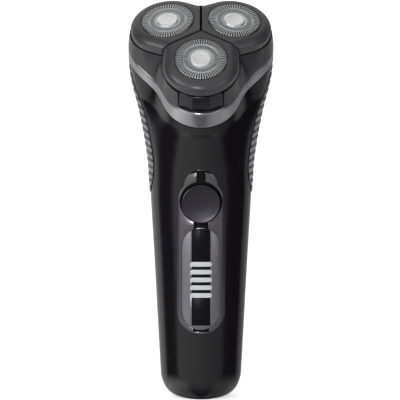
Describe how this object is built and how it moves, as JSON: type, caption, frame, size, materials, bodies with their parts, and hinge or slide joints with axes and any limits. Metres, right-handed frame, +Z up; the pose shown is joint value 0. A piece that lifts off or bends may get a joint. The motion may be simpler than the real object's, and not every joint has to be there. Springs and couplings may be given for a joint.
{
  "type": "rotary electric shaver",
  "caption": "Rotary electric shaver with floating heads, a hinged hair chamber, an on/off button with a charge display and a rear pop-up trimmer.",
  "frame": {"origin": "centre of the flat base, on the surface it stands on", "axes": "+Z up along the handle; -Y is the front with the button; +X is the right side seen from the front"},
  "size_m": [0.062, 0.0572, 0.1673],
  "materials": {
    "gloss_black_shell": "polished",
    "gloss_black_bezel": "polished",
    "gloss_black_button": "polished",
    "satin_grey_band": "satin",
    "grey_rubber": "matte",
    "smoked_lens": "polished",
    "light_bar_white": "satin",
    "head_grey_plastic": "satin",
    "trimmer_plastic": "satin",
    "inner_plastic": "matte",
    "board_green": "satin",
    "seal_rubber": "matte",
    "cell_wrap": "satin",
    "foil_steel": "satin",
    "cap_steel": "polished",
    "blade_steel": "satin",
    "plain_steel": "satin",
    "brass_parts": "satin",
    "gear_nylon": "matte"
  },
  "bodies": {
    "handle": {"front_shell": "gloss_black_shell", "rear_shell": "gloss_black_shell", "base_cap": "gloss_black_shell", "accent_band": "satin_grey_band", "left_grip": "grey_rubber", "right_grip": "grey_rubber", "control_bezel": "gloss_black_bezel", "display_lens": "smoked_lens", "light_bars": "light_bar_white", "chassis": "inner_plastic", "circuit_board": "board_green", "push_switch": "plain_steel", "battery_cell": "cell_wrap", "battery_contacts": "plain_steel", "motor": "plain_steel", "gear_plate": "inner_plastic", "gear_cover": "inner_plastic", "spindle_seals": "seal_rubber", "deck_screws": "plain_steel", "shell_screws": "plain_steel", "charging_socket": "inner_plastic", "socket_pin": "brass_parts", "head_hinge_pin": "plain_steel", "trimmer_well": "trimmer_plastic", "trimmer_pin": "plain_steel"},
    "rotor": {"motor_shaft": "plain_steel", "motor_pinion": "brass_parts"},
    "button": {"power_button": "gloss_black_button", "button_spring": "plain_steel"},
    "head": {"head_shell": "head_grey_plastic", "blade_frame": "inner_plastic", "lobe_pins": "plain_steel"},
    "knob": {"lock_knob": "inner_plastic"},
    "release": {"release_button": "head_grey_plastic"},
    "trimmer": {"trimmer_arm": "trimmer_plastic", "trimmer_comb": "blade_steel"},
    "trimmer_cutter": {"trimmer_blade": "blade_steel"},
    "trimmer_switch": {"trimmer_slide": "trimmer_plastic"},
    "drive_front": {"drive_gear_front": "gear_nylon", "drive_spindle_front": "gear_nylon"},
    "petal_front": {"lobe_front": "head_grey_plastic", "foil_front": "foil_steel", "foil_cap_front": "cap_steel", "foil_ring_front": "inner_plastic"},
    "blades_front": {"cutter_front": "blade_steel"},
    "drive_right": {"drive_gear_right": "gear_nylon", "drive_spindle_right": "gear_nylon"},
    "petal_right": {"lobe_right": "head_grey_plastic", "foil_right": "foil_steel", "foil_cap_right": "cap_steel", "foil_ring_right": "inner_plastic"},
    "blades_right": {"cutter_right": "blade_steel"},
    "drive_left": {"drive_gear_left": "gear_nylon", "drive_spindle_left": "gear_nylon"},
    "petal_left": {"lobe_left": "head_grey_plastic", "foil_left": "foil_steel", "foil_cap_left": "cap_steel", "foil_ring_left": "inner_plastic"},
    "blades_left": {"cutter_left": "blade_steel"}
  },
  "joints": [
    {"name": "head_opening", "type": "hinge", "parent": "handle", "child": "head", "pos_m": [0, 0.01784, 0.15494], "axis": [-1, 0, 0], "range_deg": [0, 100]},
    {"name": "motor_spin", "type": "hinge", "parent": "handle", "child": "rotor", "pos_m": [0, -0.00047, 0.13926], "axis": [0, -0.6428, 0.766], "continuous": true},
    {"name": "power_press", "type": "slide", "parent": "handle", "child": "button", "axis": [0, 0.9988, 0.0499], "range_m": [0, 0.0008], "stiffness_N_per_m": 300},
    {"name": "knob_turn", "type": "hinge", "parent": "head", "child": "knob", "pos_m": [0, -0.00529, 0.14501], "axis": [0, -0.6428, 0.766], "range_deg": [0, 60]},
    {"name": "release_press", "type": "slide", "parent": "head", "child": "release", "axis": [0, 0.766, 0.6428], "range_m": [0, 0.0009], "stiffness_N_per_m": 300},
    {"name": "trimmer_opening", "type": "hinge", "parent": "handle", "child": "trimmer", "pos_m": [0, 0.019, 0.085], "axis": [-1, 0, 0], "range_deg": [0, 95]},
    {"name": "trimmer_cutting", "type": "slide", "parent": "trimmer", "child": "trimmer_cutter", "axis": [1, 0, 0], "range_m": [-0.0008, 0.0008]},
    {"name": "trimmer_sliding", "type": "slide", "parent": "trimmer", "child": "trimmer_switch", "axis": [0, 0, 1], "range_m": [0, 0.003]},
    {"name": "drive_spin_front", "type": "hinge", "parent": "handle", "child": "drive_front", "pos_m": [0, -0.01219, 0.12943], "axis": [0, -0.6428, 0.766], "continuous": true},
    {"name": "lobe_tilt_front", "type": "hinge", "parent": "head", "child": "petal_front", "pos_m": [0, -0.02029, 0.13901], "axis": [1, 0, 0], "range_deg": [-2.5, 2.5], "stiffness_Nm_per_rad": 0.05},
    {"name": "cutter_spin_front", "type": "hinge", "parent": "petal_front", "child": "blades_front", "pos_m": [0, -0.02322, 0.14174], "axis": [0, -0.7314, 0.682], "continuous": true},
    {"name": "drive_spin_right", "type": "hinge", "parent": "handle", "child": "drive_right", "pos_m": [0.01325, 0.00539, 0.14418], "axis": [0, -0.6428, 0.766], "continuous": true},
    {"name": "lobe_tilt_right", "type": "hinge", "parent": "head", "child": "petal_right", "pos_m": [0.01329, -0.00266, 0.15381], "axis": [-0.5, 0.6634, 0.5567], "range_deg": [-2.5, 2.5], "stiffness_Nm_per_rad": 0.05},
    {"name": "cutter_spin_right", "type": "hinge", "parent": "petal_right", "child": "blades_right", "pos_m": [0.01371, -0.00502, 0.15701], "axis": [0.1055, -0.5913, 0.7995], "continuous": true},
    {"name": "drive_spin_left", "type": "hinge", "parent": "handle", "child": "drive_left", "pos_m": [-0.01325, 0.00539, 0.14418], "axis": [0, -0.6428, 0.766], "continuous": true},
    {"name": "lobe_tilt_left", "type": "hinge", "parent": "head", "child": "petal_left", "pos_m": [-0.01329, -0.00266, 0.15381], "axis": [-0.5, -0.6634, -0.5567], "range_deg": [-2.5, 2.5], "stiffness_Nm_per_rad": 0.05},
    {"name": "cutter_spin_left", "type": "hinge", "parent": "petal_left", "child": "blades_left", "pos_m": [-0.01371, -0.00502, 0.15701], "axis": [-0.1055, -0.5913, 0.7995], "continuous": true}
  ],
  "couplings": [
    {"joint": "drive_spin_front", "follows": "motor_spin", "ratio": -0.88889},
    {"joint": "cutter_spin_front", "follows": "motor_spin", "ratio": -0.88889},
    {"joint": "drive_spin_right", "follows": "motor_spin", "ratio": -0.88889},
    {"joint": "cutter_spin_right", "follows": "motor_spin", "ratio": -0.88889},
    {"joint": "drive_spin_left", "follows": "motor_spin", "ratio": -0.88889},
    {"joint": "cutter_spin_left", "follows": "motor_spin", "ratio": -0.88889}
  ]
}
